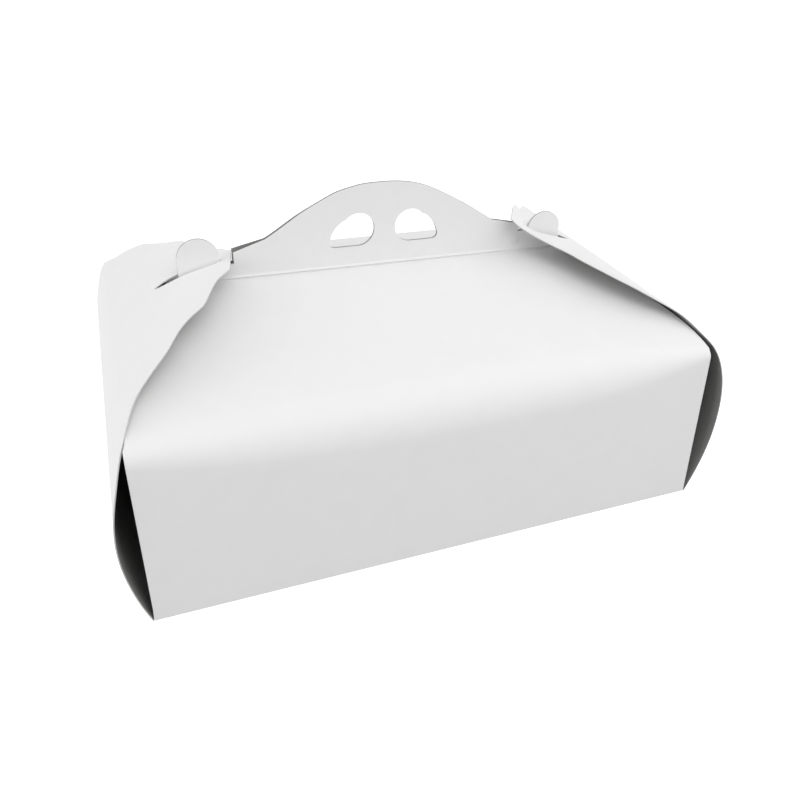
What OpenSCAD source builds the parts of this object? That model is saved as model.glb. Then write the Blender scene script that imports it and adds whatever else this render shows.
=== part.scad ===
// Carry box for a cake, folded from one sheet of white card.
// +X runs along the length, +Y to the back, +Z up; the origin is the middle of the underside.

/* [Box] */
// Length of the base, between the hinge creases of the end flaps
box_length = 270; // [245:5:340]
// Depth of the base, front to back
box_depth = 207; // [180:1:240]
// Height of the front and back walls, up to their soft bend
wall_height = 80; // [60:1:110]
// How far each wall leans inwards at its top
wall_lean = 8; // [2:0.5:12]
// Outer radius of the soft bend between a wall and its roof panel
bend_radius = 12; // [5:1:20]
// How far the ridge crease where the roof panels meet stands above the walls
roof_rise = 22; // [16:1:34]
// How far the ridge runs on past each locking tab
ridge_spare = 2; // [1:0.5:4]
// Thickness of the card
card = 0.5; // [0.3:0.1:0.8]

/* [Handle] */
// Height of the handle above the ridge crease
handle_rise = 41.8; // [36:0.2:50]
// Radius of the arch along the top of the handle
arch_radius = 85; // [75:1:95]
// Height above the ridge of the low end of each shoulder beside the arch
shoulder_low_rise = 15; // [12:0.5:16]
// Height above the ridge of each shoulder where it meets the arch
shoulder_high_rise = 18.5; // [17:0.5:21]
// Space between the two layers of the handle
layer_gap = 1.4; // [0.8:0.1:2]
// Distance from the middle to the large end of each finger hole
finger_x = 13.6; // [12:0.1:20]
// Height above the ridge of the large end of each finger hole
finger_rise = 19.3; // [16:0.1:22]
// Radius of the large end of each finger hole
finger_radius = 8.2; // [6:0.1:9]
// Radius of the small end of each finger hole
finger_small_radius = 2.6; // [2:0.1:4]
// Distance between the two ends of a finger hole
finger_spread = 13.2; // [11:0.1:16]

/* [Locking tabs] */
// Distance from the hinge crease in to the centre of each tab's round head
tab_inset = 43.6; // [38:0.2:50]
// Height above the ridge of the centre of each tab's round head
tab_rise = 10.6; // [9:0.2:14]
// Radius of each tab's round head
tab_radius = 10.5; // [8:0.1:12]
// Width of the notch between a tab and the shoulder beside it
notch_width = 5.9; // [4:0.1:9]
// Height above the ridge of the floor of that notch
notch_rise = 8.8; // [6:0.1:10]

/* [End flaps] */
// How far the curve of each end flap is drawn out past its hinge crease
flap_bulge = 8.4; // [4:0.2:14]
// How far the edges of a flap stand past the top corners of the walls
flap_overhang = 0.5; // [0:0.1:1.5]
// Height at which the flap passes over the floor of the notch
flap_lift = 1.9; // [1.3:0.1:2.5]
// Slope of the flap where it passes the wall corner, from the horizontal
corner_slope = 63; // [50:1:75]
// Slope of the flap at its slit, from the horizontal
slit_slope = 9; // [4:1:16]
// Depth of the tongue at the tip of each flap
tongue_depth = 23; // [16:1:28]
// Depth of the V cut in the end of the tongue
fishtail = 1.8; // [0.5:0.1:3]
// Gap left between the end of the left tongue, which lies in its notch, and the shoulder
left_tongue_gap = 0.5; // [0.3:0.1:1.5]
// Rise of the left tongue past its slit
left_tongue_rise = 1; // [0:0.5:4]
// Reach past its slit of the right tongue, which stands up over the shoulder
right_tongue_reach = 9; // [6:0.5:11]
// Height at which the right tongue passes over the shoulder
right_tongue_lift = 1.2; // [1:0.1:3]
// Length of the slit that shows outboard of the tab
slit_spare = 9.5; // [4:0.5:14]

/* [Clearances] */
// Running gap between the base and each end flap at the hinge crease
hinge_gap = 0.4; // [0.3:0.1:0.8]
// Gap between a flap and the tab, notch or card end that it fits round
fit_gap = 0.4; // [0.3:0.05:0.6]

/* [Hidden] */
$fn = 96;
ARCH_SIDES = 240;

// Length by which a shape that cuts or joins another runs on past it
SPARE = 1;

half_length = box_length / 2;
half_depth = box_depth / 2;
wall_top_y = half_depth - wall_lean;
ridge_height = wall_height + roof_rise;

// Handle and locking tabs, in the front view
handle_half = layer_gap / 2 + card;
handle_top = ridge_height + handle_rise;
shoulder_low = ridge_height + shoulder_low_rise;
shoulder_high = ridge_height + shoulder_high_rise;
finger_z = ridge_height + finger_rise;
tab_x = half_length - tab_inset;
tab_z = ridge_height + tab_rise;
tab_outer = tab_x + tab_radius;
tab_inner = tab_x - tab_radius;
notch_z = ridge_height + notch_rise;
shoulder_x = tab_inner - notch_width;

// Angles of the wall and of the roof panel in the end view, and the centre of the bend between them
wall_angle = atan2(wall_height, wall_lean);
roof_angle = atan2(roof_rise, wall_top_y - handle_half);
bend_turn = wall_angle - roof_angle;
bend_tangent = bend_radius * tan(bend_turn / 2);
bend_start = [-wall_top_y, wall_height] - bend_tangent * [cos(wall_angle), sin(wall_angle)];
bend_centre = bend_start + bend_radius * [sin(wall_angle), -cos(wall_angle)];
BEND_STEPS = 12;

// Ends of the walls and roof panels, a little inside the end flaps
wall_end = half_length - hinge_gap / 2;
ridge_end = tab_outer + ridge_spare;
corner_end = half_length - card / sin(corner_slope) - fit_gap;

// Points of the flap's bend, in the front view
foot_lift = card / 4;
slit_end = tab_inner - fit_gap;
slit_outer = tab_outer + slit_spare;
flap_foot = [half_length + hinge_gap / 2 + card, foot_lift];
flap_corner = [half_length, wall_height];
flap_rest = [slit_end, notch_z + flap_lift];
LOWER_STEPS = 12;
UPPER_STEPS = 16;

// Pull of the control points of the flap's curve: on its lower part the share that makes it reach
// the bulge, and on its upper part shares of the straight way from wall corner to slit end
BULGE_PULL = 4 / 3;
CORNER_PULL = 0.346;
SLIT_PULL = 0.378;

// Left tongue ends before the shoulder, right tongue climbs over it
left_tongue_reach = slit_end - shoulder_x - left_tongue_gap;
right_tongue_climb = (shoulder_low + right_tongue_lift - flap_rest.y) / (slit_end - shoulder_x);
right_tongue_rise = right_tongue_reach * right_tongue_climb;

// Width by which each side of the tongue narrows towards its end
TONGUE_TAPER = 1;

// Outline of a flap's wavy edge: how far along from wall corner to slit end, and share of the taper left
WAVE = [[0, 1], [0.075, 0.86], [0.145, 0.745], [0.23, 0.685], [0.355, 0.61], [0.46, 0.55], [0.54, 0.44],
        [0.61, 0.395], [0.745, 0.32], [0.81, 0.235], [0.865, 0.14], [0.925, 0.07], [1, 0.015]];
WAVE_STEPS = 3;

function bezier(p, t) =
    pow(1 - t, 3) * p[0] + 3 * t * pow(1 - t, 2) * p[1] + 3 * t * t * (1 - t) * p[2] + pow(t, 3) * p[3];

function bezier_points(p, steps, first = 0) = [for (i = [first:steps]) bezier(p, i / steps)];

// Smooth curve through a list of points
function through(p0, p1, p2, p3, t) =
    p1 + ((p2 - p0) * t + (2 * p0 - 5 * p1 + 4 * p2 - p3) * t * t + (3 * p1 - p0 - 3 * p2 + p3) * t * t * t) / 2;

function smooth(points, steps) = let (last = len(points) - 1) concat(
    [for (i = [0:last - 1]) for (j = [0:steps - 1])
        through(points[max(i - 1, 0)], points[i], points[i + 1], points[min(i + 2, last)], j / steps)],
    [points[last]]);

function reversed(points) = [for (i = [len(points) - 1:-1:0]) points[i]];

// Unit normal of a path at one of its points
function path_normal(path, i) =
    let (a = path[max(i - 1, 0)], b = path[min(i + 1, len(path) - 1)], d = b - a)
    [-d.y, d.x] / norm(d);

// Closed outline of card that lies on the inner side of a path
function ribbon(path) = concat(
    path,
    reversed([for (i = [0:len(path) - 1]) path[i] + card * path_normal(path, i)]));

// Outer face of a flap as seen from the front, from its hinge crease up to the end of the tongue
function flap_path(reach, rise) =
    let (draw = [flap_bulge * BULGE_PULL, 0], span = norm(flap_rest - flap_corner))
    concat(
        bezier_points([flap_foot,
                       [half_length, wall_height / 3] + draw,
                       [half_length, wall_height * 2 / 3] + draw,
                       flap_corner], LOWER_STEPS),
        bezier_points([flap_corner,
                       flap_corner + CORNER_PULL * span * [-cos(corner_slope), sin(corner_slope)],
                       flap_rest + SLIT_PULL * span * [cos(slit_slope), -sin(slit_slope)],
                       flap_rest], UPPER_STEPS, first = 1),
        [flap_rest + [-reach, rise]]);

// Front half of the folded sheet in the end view, at a distance inside its outer face
function half_sheet(inside) = let (
    arc = [for (i = [0:BEND_STEPS]) let (a = wall_angle - bend_turn * i / BEND_STEPS)
        bend_centre - (bend_radius - inside) * [sin(a), -cos(a)]],
    foot_y = -half_depth + inside * (1 / sin(wall_angle) + 1 / tan(wall_angle)),
    ridge_y = -handle_half + inside,
    ridge_z = ridge_height + inside * (tan(roof_angle) - 1 / cos(roof_angle)))
    concat([[foot_y, inside]], arc, [[ridge_y, ridge_z], [ridge_y, handle_top]]);

module folded_sheet() {
    front = concat(half_sheet(0), reversed(half_sheet(card)));
    back = [for (p = reversed(front)) [-p.x, p.y]];
    rotate([90, 0, 90]) linear_extrude(height = box_length, center = true) polygon(concat(front, back));
}

// What of the folded sheet is left in the front view: walls, roof ends, handle and locking tabs
module front_outline() {
    polygon([[-wall_end, 0], [wall_end, 0], [corner_end, wall_height - card],
             [ridge_end, ridge_height], [-ridge_end, ridge_height], [-corner_end, wall_height - card]]);
    translate([-tab_outer, ridge_height - SPARE])
        square([2 * tab_outer, notch_rise + SPARE]);
    for (side = [-1, 1]) {
        translate([side * tab_x, tab_z]) circle(tab_radius);
        translate([side * tab_x - tab_radius, ridge_height])
            square([2 * tab_radius, tab_rise]);
    }
    handle_outline();
}

// Arch of the handle, and the band below it with a sloping shoulder on either side
module handle_outline() {
    arch_centre = handle_top - arch_radius;
    kink_x = sqrt(pow(arch_radius, 2) - pow(shoulder_high - arch_centre, 2));
    polygon([[-shoulder_x, ridge_height], [shoulder_x, ridge_height], [shoulder_x, shoulder_low],
             [kink_x, shoulder_high], [-kink_x, shoulder_high], [-shoulder_x, shoulder_low]]);
    intersection() {
        translate([0, arch_centre]) circle(arch_radius, $fn = ARCH_SIDES);
        translate([-kink_x, shoulder_high - SPARE]) square([2 * kink_x, arch_radius]);
    }
}

// Egg-shaped finger hole with a level lower edge, its large end towards the middle
module finger_hole() {
    small_step = finger_radius - finger_small_radius;
    tilt = asin(small_step / finger_spread);
    small_centre = [finger_x + finger_spread * cos(tilt), finger_z - small_step];
    up = [sin(2 * tilt), cos(2 * tilt)];
    translate([finger_x, finger_z]) circle(finger_radius);
    translate(small_centre) circle(finger_small_radius);
    polygon([[finger_x, finger_z - finger_radius], small_centre - [0, finger_small_radius],
             small_centre, small_centre + finger_small_radius * up,
             [finger_x, finger_z] + finger_radius * up, [finger_x, finger_z]]);
}

module finger_holes() {
    rotate([90, 0, 0])
        linear_extrude(height = 2 * (handle_half + SPARE), center = true)
            for (side = [0, 1]) mirror([side, 0]) finger_hole();
}

module carton() {
    color("white")
    difference() {
        intersection() {
            folded_sheet();
            rotate([90, 0, 0]) linear_extrude(height = box_depth, center = true) front_outline();
        }
        finger_holes();
    }
}

// Outline of a flap in the end view, from the base up to the top corners of the walls
module flap_end_view() {
    top_y = wall_top_y + flap_overhang;
    polygon([[-half_depth, -SPARE], [half_depth, -SPARE], [top_y, wall_height], [-top_y, wall_height]]);
}

// Plan view of the part of a flap above the wall corner, with its wavy edges and forked tongue
module flap_plan(reach) {
    tongue_half = tongue_depth / 2;
    taper = wall_top_y + flap_overhang - tongue_half;
    span = half_length - slit_end;
    tip = slit_end - reach;
    edge = smooth([for (w = WAVE) [half_length - w[0] * span, tongue_half + w[1] * taper]], WAVE_STEPS);
    fork = [[tip, tongue_half - TONGUE_TAPER], [tip + fishtail, 0]];
    half = concat([edge[0] + [SPARE, 0]], edge, fork);
    polygon(concat(half, [for (i = [len(half) - 2:-1:0]) [half[i].x, -half[i].y]]));
}

// Right-hand end flap; the left one is its mirror image apart from the tongue
module end_flap(reach, rise) {
    slit_half = handle_half + fit_gap;
    upper_height = handle_top - wall_height;
    difference() {
        intersection() {
            rotate([90, 0, 0])
                linear_extrude(height = box_depth, center = true) polygon(ribbon(flap_path(reach, rise)));
            union() {
                rotate([90, 0, 90]) linear_extrude(height = box_length) flap_end_view();
                translate([0, 0, wall_height]) linear_extrude(height = upper_height) flap_plan(reach);
            }
        }
        translate([slit_end, -slit_half, wall_height])
            cube([slit_outer - slit_end, 2 * slit_half, upper_height]);
    }
}

module left_end_flap() {
    color("whitesmoke") mirror([1, 0, 0]) end_flap(left_tongue_reach, left_tongue_rise);
}

module right_end_flap() {
    color("whitesmoke") end_flap(right_tongue_reach, right_tongue_rise);
}

carton();
left_end_flap();
right_end_flap();
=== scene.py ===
import math

import bpy
import numpy as np
from mathutils import Matrix, Vector
from mathutils.geometry import delaunay_2d_cdt


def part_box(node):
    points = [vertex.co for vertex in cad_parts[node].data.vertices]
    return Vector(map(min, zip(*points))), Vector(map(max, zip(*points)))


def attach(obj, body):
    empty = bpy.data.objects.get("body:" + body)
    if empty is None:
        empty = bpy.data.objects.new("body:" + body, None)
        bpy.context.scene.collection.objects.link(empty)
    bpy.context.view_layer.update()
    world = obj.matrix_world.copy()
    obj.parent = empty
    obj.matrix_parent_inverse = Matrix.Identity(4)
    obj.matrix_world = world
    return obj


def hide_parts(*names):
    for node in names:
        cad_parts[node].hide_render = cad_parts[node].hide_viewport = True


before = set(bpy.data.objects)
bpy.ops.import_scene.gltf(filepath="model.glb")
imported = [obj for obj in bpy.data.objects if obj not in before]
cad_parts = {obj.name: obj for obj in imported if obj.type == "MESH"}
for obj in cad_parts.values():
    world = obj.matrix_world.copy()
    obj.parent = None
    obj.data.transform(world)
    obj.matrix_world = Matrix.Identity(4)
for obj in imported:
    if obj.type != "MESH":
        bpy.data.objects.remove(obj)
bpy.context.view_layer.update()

# Shapes are worked out in millimetres, in the frame of the CAD part, and written to meshes in metres.
MM = 0.001
carton_high = np.array(list(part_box("carton"))[1]) / MM

# Box: the creases of the end flaps lie a little beyond the ends of the walls
CARD = 0.5
CREASE_GAP = 0.2
CORNER_INSET = 0.7
HINGE_X = carton_high[0] + CREASE_GAP
WALL_END = carton_high[0]
HALF_DEPTH = carton_high[1]
HANDLE_TOP = carton_high[2]
WALL_HEIGHT = 80.0
WALL_TOP_Y = HALF_DEPTH - 8.0
CORNER_END = HINGE_X - CORNER_INSET

# Bend between wall and roof: wide in the middle of the front, tight at both ends and along the back.
# The back roof panel also bows up a little
BEND_RADIUS_MIDDLE = 25.0
BEND_RADIUS_LEFT = 9.0
BEND_RADIUS_RIGHT = 5.0
BEND_RADIUS_BACK = 5.0
BACK_ROOF_BOW = 0.8

# Rows of points down each half of the section and across the base, and stations along the length
ROOF_ROWS = 25
BEND_ROWS = 25
WALL_ROWS = 20
BASE_ROWS = 25
STATIONS = 121

# Ridge: the folded sheet sits a little lower at its right end than at its left
RIDGE_MIDDLE_Z = 102.0
RIDGE_FALL = 0.75
RIDGE_END = 103.9
# How far the ends of the roof panels are cut out past a straight line, near the wall and near the ridge
ROOF_END_LEFT = (5.0, 4.0)
ROOF_END_RIGHT = (16.0, 4.0)
# Rounded bead that the press leaves along the ridge: height above the ridge, distance out from the layer
BEAD = ((2.6, 0.0), (2.2, 0.02), (1.85, 0.2), (1.55, 0.5), (1.25, 0.62), (0.95, 0.5), (0.65, 0.15),
        (0.35, -0.15))
BEAD_TOP = BEAD[0][0]
# Shallow groove below the ridge, and where the flat part of the roof starts
GROOVE_AT = 0.9
GROOVE_DEPTH = 0.1
ROOF_START = 2.2

# Handle: half widths and heights of its arch, from the kink beside each shoulder up to the top
ARCH_LEFT = ((59.6, 121.0), (53.9, 124.4), (48.0, 128.2), (42.1, 131.8), (36.2, 134.9), (30.4, 137.8),
             (24.5, 140.4), (18.6, 142.0), (12.7, 143.2), (6.5, 143.7), (0.0, HANDLE_TOP))
ARCH_RIGHT = ((59.2, 120.0), (52.1, 124.3), (44.8, 128.8), (37.8, 132.6), (31.0, 136.1), (24.4, 139.2),
              (17.9, 141.5), (11.6, 142.9), (5.6, 143.6), (0.0, HANDLE_TOP))
SHOULDER_X = 75.0
SHOULDER_LOW = 116.8
FINGER_X = 13.6
FINGER_Z = 121.3
FINGER_RADIUS = 8.2
FINGER_SMALL_RADIUS = 2.8
FINGER_SPREAD = 13.2
FINGER_BULGE = 1.5
TAB_OUTER = 100.5
TAB_RADIUS = 9.7
TAB_LEFT_Z = 114.3
TAB_RIGHT_Z = 111.9
NOTCH_LEFT_Z = 111.0
NOTCH_RIGHT_Z = 112.4

# Half the distance between the layers of the handle, how much wider it gets at the left shoulder, and how
# much narrower it is at the left tab, beside the finger holes and at the right tab
LAYER_HALF = 1.2
SHOULDER_SPREAD = 1.8
LEFT_TAB_CLOSER = 0.55
HOLES_CLOSER = 0.4
RIGHT_TAB_CLOSER = 0.6
# Spacing of the points inside a layer, and their least distance from its edges
LAYER_STEP = 3.0
LAYER_CLEARANCE = 1.2

# End flaps: start of the outer face beside the crease, length drawn, steps and columns of the mesh
FLAP_FOOT = (0.55, 0.1)
FLAP_LENGTH = 175
PATH_STEP = 0.25
FLAP_COLUMNS = 36
# Distance along a flap at which its shoulders begin, and at which a tongue may start to twist
FLAP_SHOULDER = 82
TWIST_START = 138
TWIST_LENGTH = 21
# Width of a flap's slit in front of its middle line and behind it
SLIT_FRONT_HALF = 2.3
SLIT_BACK_HALF = 1.8


def smoothstep(x):
    x = np.clip(x, 0.0, 1.0)
    return x * x * (3 - 2 * x)


def spread(first, last, step):
    """Evenly spaced values from first to last, about a step apart."""
    return np.linspace(first, last, max(2, int(round(abs(last - first) / step)) + 1))


def arc_points(centre, radius, first, last, step):
    """Points along an arc, angles in degrees."""
    a = np.radians(spread(first, last, math.degrees(step / radius)))
    return [(centre[0] + radius * math.cos(t), centre[1] + radius * math.sin(t)) for t in a]


def curve_through(stations, values, x):
    """Smooth curve through values at stations, read at x, with no overshoot."""
    s, v = np.array(stations, float), np.array(values, float)
    h = np.diff(s)
    d = np.diff(v) / h
    slope = np.zeros(len(s))
    slope[0], slope[-1] = d[0], d[-1]
    for i in range(1, len(s) - 1):
        if d[i - 1] * d[i] > 0:
            a, b = 2 * h[i] + h[i - 1], h[i] + 2 * h[i - 1]
            slope[i] = (a + b) / (a / d[i - 1] + b / d[i])
    k = np.clip(np.searchsorted(s, x, side="right") - 1, 0, len(s) - 2)
    t = np.clip((x - s[k]) / h[k], 0, 1)
    t2, t3 = t * t, t * t * t
    return ((2 * t3 - 3 * t2 + 1) * v[k] + (t3 - 2 * t2 + t) * h[k] * slope[k]
            + (3 * t2 - 2 * t3) * v[k + 1] + (t3 - t2) * h[k] * slope[k + 1])


def spline(stations, values, x):
    """Natural cubic curve through values at rising stations, read at x."""
    s, v = np.array(stations, float), np.array(values, float)
    h = np.diff(s)
    count = len(s)
    matrix, right = np.eye(count), np.zeros(count)
    for i in range(1, count - 1):
        matrix[i, i - 1:i + 2] = (h[i - 1], 2 * (h[i - 1] + h[i]), h[i])
        right[i] = 6 * ((v[i + 1] - v[i]) / h[i] - (v[i] - v[i - 1]) / h[i - 1])
    bend = np.linalg.solve(matrix, right)
    k = np.clip(np.searchsorted(s, x, side="right") - 1, 0, count - 2)
    t = x - s[k]
    slope = (v[k + 1] - v[k]) / h[k] - h[k] * (2 * bend[k] + bend[k + 1]) / 6
    return v[k] + t * (slope + t * (bend[k] / 2 + t * (bend[k + 1] - bend[k]) / (6 * h[k])))


def grid_faces(rows, columns, first=0):
    """Quads of a grid of points that is stored row by row."""
    return [
        (first + i * columns + j, first + (i + 1) * columns + j,
         first + (i + 1) * columns + j + 1, first + i * columns + j + 1)
        for i in range(rows - 1)
        for j in range(columns - 1)
    ]


# Materials

def node_tree(name):
    material = bpy.data.materials.new(name)
    material.use_nodes = True
    return material, material.node_tree.nodes, material.node_tree.links


MOTTLE_SCALE = 90.0
MOTTLE_DIMMING = 0.985
FIBRE_SCALE = 1400.0


def card_material(name, colour, roughness, fibre_depth):
    """Coated card: nearly even white, with a faint mottle of fibres under the coat."""
    material, nodes, links = node_tree(name)
    dimmer = [c * MOTTLE_DIMMING for c in colour]
    shader = nodes["Principled BSDF"]
    shader.inputs["Roughness"].default_value = roughness
    shader.inputs["Specular IOR Level"].default_value = 0.35
    place = nodes.new("ShaderNodeTexCoord")
    mottle = nodes.new("ShaderNodeTexNoise")
    mottle.inputs["Scale"].default_value = MOTTLE_SCALE
    mottle.inputs["Detail"].default_value = 4.0
    tint = nodes.new("ShaderNodeValToRGB")
    tint.color_ramp.elements[0].position = 0.3
    tint.color_ramp.elements[0].color = dimmer + [1.0]
    tint.color_ramp.elements[1].position = 0.7
    tint.color_ramp.elements[1].color = list(colour) + [1.0]
    fibre = nodes.new("ShaderNodeTexNoise")
    fibre.inputs["Scale"].default_value = FIBRE_SCALE
    fibre.inputs["Detail"].default_value = 3.0
    bump = nodes.new("ShaderNodeBump")
    bump.inputs["Strength"].default_value = 0.25
    bump.inputs["Distance"].default_value = fibre_depth
    links.new(place.outputs["Object"], mottle.inputs["Vector"])
    links.new(place.outputs["Object"], fibre.inputs["Vector"])
    links.new(mottle.outputs["Fac"], tint.inputs["Fac"])
    links.new(tint.outputs["Color"], shader.inputs["Base Color"])
    links.new(fibre.outputs["Fac"], bump.inputs["Height"])
    links.new(bump.outputs["Normal"], shader.inputs["Normal"])
    return material


card_face = card_material("card_face", (0.86, 0.86, 0.86), 0.5, 0.00004)
card_inside = card_material("card_inside", (0.3, 0.3, 0.295), 0.85, 0.0001)
card_edge = card_material("card_edge", (0.62, 0.62, 0.61), 0.85, 0.0001)


def card_piece(name, points, faces, node):
    """A sheet of card in the place of a CAD node: the surface is its outer face, thickened inwards."""
    mesh = bpy.data.meshes.new(name)
    mesh.from_pydata([tuple(p) for p in np.array(points) * MM], [], faces)
    mesh.validate()
    piece = bpy.data.objects.new(name, mesh)
    bpy.context.scene.collection.objects.link(piece)
    for material in (card_face, card_inside, card_edge):
        mesh.materials.append(material)
    thickness = piece.modifiers.new("thickness", "SOLIDIFY")
    thickness.thickness = CARD * MM
    thickness.offset = -1.0
    thickness.use_even_offset = True
    thickness.material_offset = 1
    thickness.material_offset_rim = 2
    bpy.context.view_layer.objects.active = piece
    bpy.ops.object.modifier_apply(modifier=thickness.name)
    mesh = piece.data
    mesh.polygons.foreach_set("use_smooth", [True] * len(mesh.polygons))
    mesh.set_sharp_from_angle(angle=math.radians(40))
    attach(piece, node)
    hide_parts(node)
    return piece


# Carton: base, walls, roof panels and bead as one grid of rows, and the two layers of the handle

def ridge_z(x):
    return RIDGE_MIDDLE_Z - RIDGE_FALL * x / RIDGE_END


def section_rows(u, back=False):
    """Half of the folded sheet at a share u of the length: (y, z) from the bead down to the foot.

    y is given as in the front half, also for the back.
    """
    ridge_height = ridge_z(u * RIDGE_END)
    end_radius = BEND_RADIUS_LEFT if u < 0 else BEND_RADIUS_RIGHT
    middle_radius = BEND_RADIUS_BACK if back else BEND_RADIUS_MIDDLE
    radius = end_radius + (middle_radius - end_radius) * (1 - abs(u) ** 3)
    wall = math.atan2(WALL_HEIGHT, HALF_DEPTH - WALL_TOP_Y)
    roof = math.atan2(ridge_height - WALL_HEIGHT, WALL_TOP_Y - LAYER_HALF)
    tangent = radius * math.tan((wall - roof) / 2)
    corner = np.array([-WALL_TOP_Y, WALL_HEIGHT])
    up_wall = np.array([math.cos(wall), math.sin(wall)])
    up_roof = np.array([math.cos(roof), math.sin(roof)])
    bend_low = corner - tangent * up_wall
    bend_high = corner + tangent * up_roof
    centre = bend_low + radius * np.array([math.sin(wall), -math.cos(wall)])
    ridge = np.array([-LAYER_HALF, ridge_height])
    foot = np.array([-HALF_DEPTH, 0.0])
    has_bead = abs(u) < 1
    rows = []
    for up, out in BEAD:
        rows.append(ridge + np.array([-out, up]) if has_bead else ridge)
    groove = ridge - GROOVE_AT * up_roof - np.array([0.0, GROOVE_DEPTH])
    rows += [ridge, groove]
    start = ridge - ROOF_START * up_roof
    for t in np.linspace(0, 1, ROOF_ROWS)[:-1]:
        bow = BACK_ROOF_BOW * math.sin(math.pi * t) * (1 - u ** 2) if back else 0.0
        rows.append(start + (bend_high - start) * t + np.array([0.0, bow]))
    for a in np.linspace(roof, wall, BEND_ROWS):
        rows.append(centre + radius * np.array([-math.sin(a), math.cos(a)]))
    rows += [bend_low + (foot - bend_low) * t for t in np.linspace(0, 1, WALL_ROWS)[1:]]
    return rows


def carton_stations():
    """Shares of the length at which the section is drawn, closer together where the handle stands."""
    tab_share = TAB_OUTER / RIDGE_END
    inner = np.linspace(-tab_share, tab_share, STATIONS)
    return np.concatenate([[-1.0], inner, [1.0]])


def row_half_length(z, side):
    """Half length of the sheet at a height: nearly upright at the walls, cut to a curve along the roof."""
    if z <= WALL_HEIGHT:
        return WALL_END + (CORNER_END - WALL_END) * z / WALL_HEIGHT
    low, high = ROOF_END_LEFT if side < 0 else ROOF_END_RIGHT
    t = min(1.0, (z - WALL_HEIGHT) / (ridge_z(side * RIDGE_END) - WALL_HEIGHT))
    return CORNER_END + (RIDGE_END - CORNER_END) * t + 3 * t * (1 - t) * (low * (1 - t) + high * t)


def carton_grid():
    """Points and faces of the folded sheet, and the X of the points along the top of its bead."""
    stations = carton_stations()
    halves = []
    for behind in (False, True):
        end_heights = {}
        for side in (-1, 1):
            end_heights[side] = [z for y, z in section_rows(float(side), behind)]
        sections = [section_rows(u, behind) for u in stations]
        half = []
        for i in range(len(sections[0])):
            for u, section in zip(stations, sections):
                side = 1 if u >= 0 else -1
                y, z = section[i]
                half.append((u * row_half_length(end_heights[side][i], side), y, z))
        halves.append(np.array(half).reshape(len(sections[0]), len(stations), 3))
    front, back = halves
    base = []
    for t in np.linspace(0, 1, BASE_ROWS)[1:-1]:
        row = front[-1].copy()
        row[:, 1] = -HALF_DEPTH + 2 * HALF_DEPTH * t
        base.append(row)
    back = back[::-1]
    back[:, :, 1] *= -1
    rows = np.concatenate([front, np.array(base), back])
    return rows.reshape(-1, 3), grid_faces(len(rows), len(stations)), front[0][1:-1, 0]


def egg_outline():
    """Right-hand finger hole, anticlockwise: two arcs, a level lower edge and a bowed upper one."""
    small_step = FINGER_RADIUS - FINGER_SMALL_RADIUS
    tilt = math.degrees(math.asin(small_step / FINGER_SPREAD))
    small = (FINGER_X + FINGER_SPREAD * math.cos(math.radians(tilt)), FINGER_Z - small_step)
    top = 90 - 2 * tilt
    large_arc = arc_points((FINGER_X, FINGER_Z), FINGER_RADIUS, top, 270, 0.8)
    small_arc = arc_points(small, FINGER_SMALL_RADIUS, -90, top, 0.5)
    first, last = np.array(small_arc[-1]), np.array(large_arc[0])
    out = np.array([math.cos(math.radians(top)), math.sin(math.radians(top))]) * FINGER_BULGE
    upper = []
    for t in np.linspace(0, 1, 14)[1:-1]:
        upper.append(tuple(first + (last - first) * t + out * math.sin(math.pi * t) ** 0.7))
    return large_arc + small_arc + upper


def handle_outline(ridge_x):
    """One layer of the handle in the front view, anticlockwise from the left end of the bead."""
    tab_x = TAB_OUTER - TAB_RADIUS
    tab_inner = TAB_OUTER - 2 * TAB_RADIUS
    points = [(x, ridge_z(x) + BEAD_TOP) for x in ridge_x]
    points += arc_points((tab_x, TAB_RIGHT_Z), TAB_RADIUS, 0, 180, 0.8)
    points += [(tab_inner, NOTCH_RIGHT_Z), (SHOULDER_X, NOTCH_RIGHT_Z), (SHOULDER_X, SHOULDER_LOW)]
    for side, arch in ((1, ARCH_RIGHT), (-1, ARCH_LEFT)):
        x = np.array([p[0] for p in arch])
        z = np.array([p[1] for p in arch])
        read = spread(x[0], 0, 1.5)
        curve = list(zip(side * read, spline(-x, z, -read)))
        points += curve if side > 0 else curve[::-1][1:]
    points += [(-SHOULDER_X, SHOULDER_LOW), (-SHOULDER_X, NOTCH_LEFT_Z), (-tab_inner, NOTCH_LEFT_Z)]
    points += arc_points((-tab_x, TAB_LEFT_Z), TAB_RADIUS, 0, 180, 0.8)
    return points


def inside(point, outline):
    x, z = point
    hit = False
    for (x0, z0), (x1, z1) in zip(outline, outline[1:] + outline[:1]):
        if (z0 > z) != (z1 > z) and x < x0 + (z - z0) * (x1 - x0) / (z1 - z0):
            hit = not hit
    return hit


def clearance(point, outline):
    """Distance from a point to the nearest corner or side of an outline."""
    p = np.array(point)
    a = np.array(outline)
    b = np.roll(a, -1, axis=0)
    d = b - a
    t = np.clip(((p - a) * d).sum(1) / np.maximum((d * d).sum(1), 1e-12), 0, 1)
    return np.sqrt((((a + d * t[:, None]) - p) ** 2).sum(1)).min()


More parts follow.
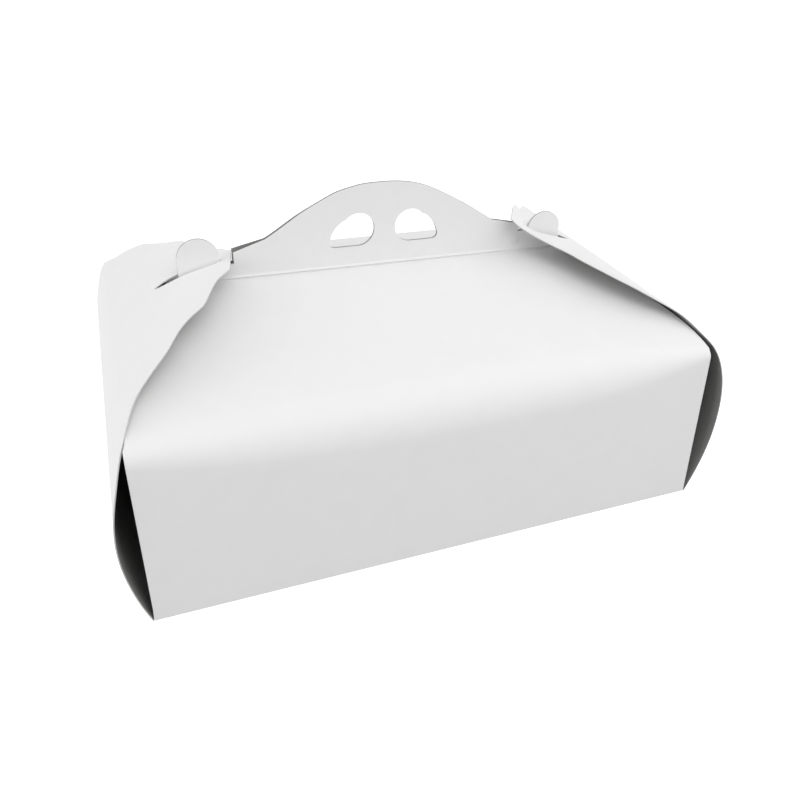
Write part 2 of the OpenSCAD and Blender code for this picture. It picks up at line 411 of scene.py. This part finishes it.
def handle_layer(ridge_x):
    """Flat triangles of one layer: its outline less the finger holes, with points inside to let it bow."""
    outline = handle_outline(ridge_x)
    right_hole = egg_outline()
    holes = [right_hole, [(-x, z) for x, z in reversed(right_hole)]]
    loops = [outline] + holes
    points, edges = [], []
    for loop in loops:
        first = len(points)
        points += loop
        edges += [(first + i, first + (i + 1) % len(loop)) for i in range(len(loop))]
    for x in np.arange(-105, 105, LAYER_STEP):
        for z in np.arange(RIDGE_MIDDLE_Z, HANDLE_TOP, LAYER_STEP):
            on_card = inside((x, z), outline) and not any(inside((x, z), h) for h in holes)
            if on_card and min(clearance((x, z), loop) for loop in loops) > LAYER_CLEARANCE:
                points.append((x, z))
    for z in np.arange(ridge_z(SHOULDER_X) + BEAD_TOP + 1, NOTCH_RIGHT_Z - 0.5, 1.0):
        points += [(SHOULDER_X - 0.15, z), (SHOULDER_X + 0.15, z)]
    verts, _, tris, _, _, _ = delaunay_2d_cdt([Vector(p) for p in points], edges, [], 1, 1e-5)
    flat = [(v.x, v.y) for v in verts]
    kept = []
    for tri in tris:
        middle = tuple(np.mean([flat[i] for i in tri], axis=0))
        if inside(middle, outline) and not any(inside(middle, h) for h in holes):
            kept.append(tuple(tri))
    return np.array(flat), kept


def layer_half_gap(x, z):
    """Half the distance between the outer faces of the two layers of the handle."""
    up = (z - ridge_z(x) - BEAD_TOP - 0.5) / 10
    left_shoulder = smoothstep((-x - 58) / 17) * smoothstep((80 + x) / 4)
    left_tab = smoothstep((-x - 78) / 4)
    right_tab = np.where(x > SHOULDER_X, 1.0, 0.0) * smoothstep(up * 3)
    holes = smoothstep((50 - abs(x)) / 15) * smoothstep((z - ridge_z(x) - BEAD_TOP) / 8)
    closer = LEFT_TAB_CLOSER * left_tab * smoothstep(up)
    closer = closer + HOLES_CLOSER * holes + RIGHT_TAB_CLOSER * right_tab
    return LAYER_HALF + SHOULDER_SPREAD * left_shoulder * smoothstep(up) - closer


def make_carton():
    """The folded sheet with both layers of the handle."""
    points, faces, ridge_x = carton_grid()
    points = list(map(tuple, points))
    flat, tris = handle_layer(ridge_x)
    half = layer_half_gap(flat[:, 0], flat[:, 1])
    for side in (-1, 1):
        first = len(points)
        points += [(x, side * h, z) for (x, z), h in zip(flat, half)]
        for tri in tris:
            ordered = tri if side < 0 else tri[::-1]
            faces.append(tuple(first + i for i in ordered))
    return points, faces


def weld(points, faces, distance=0.01):
    """Joins points that lie in the same place."""
    keys, index, kept = {}, [], []
    for p in points:
        key = tuple(np.round(np.array(p) / distance).astype(int))
        if key not in keys:
            keys[key] = len(kept)
            kept.append(p)
        index.append(keys[key])
    joined = [tuple(dict.fromkeys(index[i] for i in face)) for face in faces]
    return kept, [face for face in joined if len(face) > 2]


# End flaps

class Flap:
    """One end flap, written for the right-hand side.

    directions: the card's angle from level, in degrees, at distances along it from the crease
    widths: half the flap's width at distances along it
    tongue_end: where the tongue ends, at shares of its half width from front (-1) to back (1)
    slit_outer, slit_inner: the ends of the slit, as distances along the flap
    lip_dip: how far the slit's front lip is pressed down beside the tab
    droop, roll: how far the flap's sides hang and how far its back stands higher than its front
    skew: how far the tongue is turned, as X for each unit of Y
    """

    def __init__(self, directions, widths, tongue_end, slit_outer, slit_inner, lip_dip=0.0,
                 droop=0.0, roll=0.0, skew=0.0):
        self.directions = directions
        self.widths = widths
        self.tongue_end = tongue_end
        self.slit_outer = slit_outer
        self.slit_inner = slit_inner
        self.lip_dip = lip_dip
        self.droop = droop
        self.roll = roll
        self.skew = skew

    def path(self):
        """Outer face in the front view: distances along it, X and Z."""
        along = np.arange(0, FLAP_LENGTH, PATH_STEP)
        turn = np.radians(spline(*zip(*self.directions), along))
        middle = (turn[1:] + turn[:-1]) / 2
        x = HINGE_X + FLAP_FOOT[0] + np.concatenate([[0], np.cumsum(PATH_STEP * np.cos(middle))])
        z = FLAP_FOOT[1] + np.concatenate([[0], np.cumsum(PATH_STEP * np.sin(middle))])
        return along, x, z

    def slit_half_width(self, at, side):
        t = (at - self.slit_outer) / (self.slit_inner - self.slit_outer)
        if not 0 < t < 1:
            return 0.0
        widest = SLIT_FRONT_HALF if side < 0 else SLIT_BACK_HALF
        return widest * math.sqrt(min(1.0, t / 0.22)) * math.sqrt(1 - t ** 12)

    def point(self, at, y, path):
        """Place of the point at a distance along the flap and at a Y."""
        along, x, z = path
        upper = smoothstep((at - FLAP_SHOULDER) / 25)
        px = np.interp(at, along, x) + self.skew * y * smoothstep((at - TWIST_START) / TWIST_LENGTH)
        pz = np.interp(at, along, z) - self.droop * upper * (y / 60) ** 2
        pz += self.roll * y * smoothstep((at - FLAP_SHOULDER) / 80)
        if y <= 0:
            near_end = smoothstep((at - self.slit_outer) / (self.slit_inner - self.slit_outer) * 1.1)
            fade = smoothstep((self.slit_inner + 6 - at) / 6)
            pz -= self.lip_dip * near_end * fade * max(0.0, 1 + y / 13) ** 2
        return px, y, pz

    def mesh(self):
        """Points and faces: a grid on each side of the slit, joined where the slit is closed."""
        path = self.path()
        width_at, half_width = zip(*self.widths)
        share_at, end_at = zip(*self.tongue_end)
        last = max(end_at)
        rows = np.concatenate([spread(0, FLAP_SHOULDER, 2.0),
                               spread(FLAP_SHOULDER, self.slit_inner, 0.8)[1:],
                               spread(self.slit_inner, last, 0.5)[1:]])
        halves = []
        for side in (-1, 1):
            half = []
            for row in rows:
                for c in np.linspace(0, 1, FLAP_COLUMNS):
                    at = row
                    if row > self.slit_inner:
                        end = float(curve_through(share_at, end_at, np.array([side * c]))[0])
                        reach = (end - self.slit_inner) / (last - self.slit_inner)
                        at = self.slit_inner + (row - self.slit_inner) * reach
                    width = float(curve_through(width_at, half_width, np.array([at]))[0])
                    gap = self.slit_half_width(at, side)
                    half.append(self.point(at, side * (gap + (width - gap) * c), path))
            half = np.array(half).reshape(len(rows), FLAP_COLUMNS, 3)
            halves.append(half[:, ::side].reshape(-1, 3))
        faces = grid_faces(len(rows), FLAP_COLUMNS)
        faces += grid_faces(len(rows), FLAP_COLUMNS, first=len(rows) * FLAP_COLUMNS)
        return weld(np.concatenate(halves), [f[::-1] for f in faces])


left_flap = Flap(
    directions=((0, 68), (10, 73.5), (30, 83), (50, 97), (65, 104.5), (76, 109), (86, 123), (95, 134.5),
                (105, 144), (115, 150), (125, 158), (135, 165), (143, 166), (150, 164), (175, 163)),
    widths=((0, 103.5), (40, 101.2), (60, 99.5), (68.6, 98.2), (73.4, 96.3), (78, 93.9), (82, 91),
            (88, 83.3), (92, 77.5), (95, 73.9), (98, 71.5), (102.4, 68.6), (106.5, 65.5), (110.3, 62.8),
            (114, 59.3), (117.2, 54.8), (120.4, 50.2), (123.5, 46.8), (126.5, 43.9), (129.5, 41.8),
            (133, 38.8), (136.6, 31.8), (139.7, 24.5), (143, 18.5), (146, 15.8), (149.5, 13), (153, 11),
            (175, 11)),
    tongue_end=((-1, 149.6), (-0.5, 151), (0, 152.2), (0.5, 152.9), (0.75, 152), (1, 149.6)),
    slit_outer=114.3, slit_inner=147.6)

# The right flap is bowed higher than the left one, and its tongue is turned and curls up
right_flap = Flap(
    directions=((0, 66.5), (15, 73), (30, 81), (45, 89.5), (60, 98), (72, 106), (81, 111), (88, 121),
                (94, 136), (100, 147), (106, 149), (114, 152), (122, 156), (130, 160), (138, 161),
                (144, 158), (150, 149), (156, 141), (164, 137), (175, 137)),
    widths=((0, 103.5), (40, 101.2), (60, 99.5), (70, 98), (77, 96), (82.4, 92.5), (89.2, 80), (95, 73.2),
            (102.4, 67.7), (110.8, 61.9), (117.6, 55.8), (122.8, 51.3), (127.6, 45.3), (134.9, 35.5),
            (139.1, 28.2), (143.3, 20.5), (147.5, 14.6), (151.2, 11.6), (154.8, 10.5), (158, 11), (163, 12),
            (175, 12)),
    tongue_end=((-1, 166.8), (-0.5, 165.6), (0, 164.8), (0.5, 163.6), (1, 161.2)),
    slit_outer=122.6, slit_inner=152.2, lip_dip=1.2, droop=0.75, roll=0.095, skew=0.49)


carton_points, carton_faces = make_carton()
card_piece("carton_card", *weld(carton_points, carton_faces), "carton")
points, faces = right_flap.mesh()
card_piece("right_flap_card", points, faces, "right_end_flap")
points, faces = left_flap.mesh()
points = [(-x, y, z) for x, y, z in points]
card_piece("left_flap_card", points, [f[::-1] for f in faces], "left_end_flap")


# Camera, at the photograph's viewing angle

CAMERA_AT = np.array([-120.0, -329.3, 247.9])
CAMERA_YAW = 21.9
CAMERA_PITCH = 33.08
CAMERA_ROLL = 2.49
CAMERA_LENS = 33.06

# How much light the floor sends back to the box
FLOOR_BOUNCE = 0.4
# What is added where the floor is seen, so that it shows white and keeps only the deeper part of the shadow
FLOOR_GLOW = 0.5
FLOOR_HALF = 3.0
# Even light from all round, and the lamps' side and aim in metres
WORLD_LEVEL = 0.62
LAMP_SIZE = 0.9
LAMP_TARGET = (0, 0, 0.05)


def make_camera():
    yaw, pitch, roll = (math.radians(a) for a in (CAMERA_YAW, CAMERA_PITCH, CAMERA_ROLL))
    forward = Vector((math.sin(yaw) * math.cos(pitch), math.cos(yaw) * math.cos(pitch), -math.sin(pitch)))
    level = Vector((math.cos(yaw), -math.sin(yaw), 0))
    above = level.cross(forward)
    right = level * math.cos(roll) + above * math.sin(roll)
    up = above * math.cos(roll) - level * math.sin(roll)
    data = bpy.data.cameras.new("camera")
    data.lens = CAMERA_LENS
    data.sensor_width = 36.0
    data.clip_start = 0.01
    camera = bpy.data.objects.new("camera", data)
    turn = Matrix((right, up, -forward)).transposed().to_4x4()
    camera.matrix_world = Matrix.Translation(Vector(CAMERA_AT * MM)) @ turn
    bpy.context.scene.collection.objects.link(camera)
    bpy.context.scene.camera = camera


make_camera()


# Floor, light and background

def camera_white(nodes, links):
    """1 for rays that show the background itself: from the camera, in a gloss or through a clear body."""
    path = nodes.new("ShaderNodeLightPath")
    total = None
    for name in ("Is Camera Ray", "Is Glossy Ray", "Is Transmission Ray"):
        if total is None:
            total = path.outputs[name]
            continue
        highest = nodes.new("ShaderNodeMath")
        highest.operation = "MAXIMUM"
        links.new(total, highest.inputs[0])
        links.new(path.outputs[name], highest.inputs[1])
        total = highest.outputs[0]
    return total


def make_floor():
    """Plain floor: white where it is seen, pale grey for the light that it sends back to the box."""
    size = FLOOR_HALF
    mesh = bpy.data.meshes.new("floor")
    corners = [(-size, -size, 0), (size, -size, 0), (size, size, 0), (-size, size, 0)]
    mesh.from_pydata(corners, [], [(0, 1, 2, 3)])
    floor = bpy.data.objects.new("floor", mesh)
    bpy.context.scene.collection.objects.link(floor)
    material, nodes, links = node_tree("floor")
    shader = nodes["Principled BSDF"]
    shader.inputs["Roughness"].default_value = 0.9
    shader.inputs["Specular IOR Level"].default_value = 0.1
    tone = nodes.new("ShaderNodeMix")
    tone.data_type = "RGBA"
    tone.inputs["A"].default_value = (FLOOR_BOUNCE, FLOOR_BOUNCE, FLOOR_BOUNCE, 1)
    tone.inputs["B"].default_value = (1, 1, 1, 1)
    links.new(camera_white(nodes, links), tone.inputs["Factor"])
    links.new(tone.outputs["Result"], shader.inputs["Base Color"])
    glow = nodes.new("ShaderNodeMath")
    glow.operation = "MULTIPLY"
    glow.inputs[1].default_value = FLOOR_GLOW
    links.new(camera_white(nodes, links), glow.inputs[0])
    shader.inputs["Emission Color"].default_value = (1, 1, 1, 1)
    links.new(glow.outputs[0], shader.inputs["Emission Strength"])
    mesh.materials.append(material)


def make_world(strength):
    """Even light from all round, white where the world itself is seen."""
    world = bpy.data.worlds.new("studio")
    world.use_nodes = True
    nodes, links = world.node_tree.nodes, world.node_tree.links
    background = nodes["Background"]
    background.inputs["Color"].default_value = (1, 1, 1, 1)
    level = nodes.new("ShaderNodeMix")
    level.data_type = "FLOAT"
    level.inputs["A"].default_value = strength
    level.inputs["B"].default_value = 1.0
    links.new(camera_white(nodes, links), level.inputs["Factor"])
    links.new(level.outputs["Result"], background.inputs["Strength"])
    bpy.context.scene.world = world


def area_lamp(name, at, power):
    """Square lamp aimed at the middle of the box."""
    data = bpy.data.lights.new(name, "AREA")
    data.size = LAMP_SIZE
    data.energy = power
    lamp = bpy.data.objects.new(name, data)
    lamp.location = at
    lamp.rotation_euler = (Vector(LAMP_TARGET) - Vector(at)).to_track_quat("-Z", "Y").to_euler()
    bpy.context.scene.collection.objects.link(lamp)
    return lamp


make_floor()
area_lamp("front", (0, -0.9, 1.072), 4.5)
area_lamp("front_right", (0.7, -0.7, 0.99), 2.3)
area_lamp("right", (1.072, 0, 0.9), 2.2)
area_lamp("left", (-1.379, 0, 0.243), 6.6)
make_world(WORLD_LEVEL)

bpy.context.scene.view_settings.view_transform = "Standard"
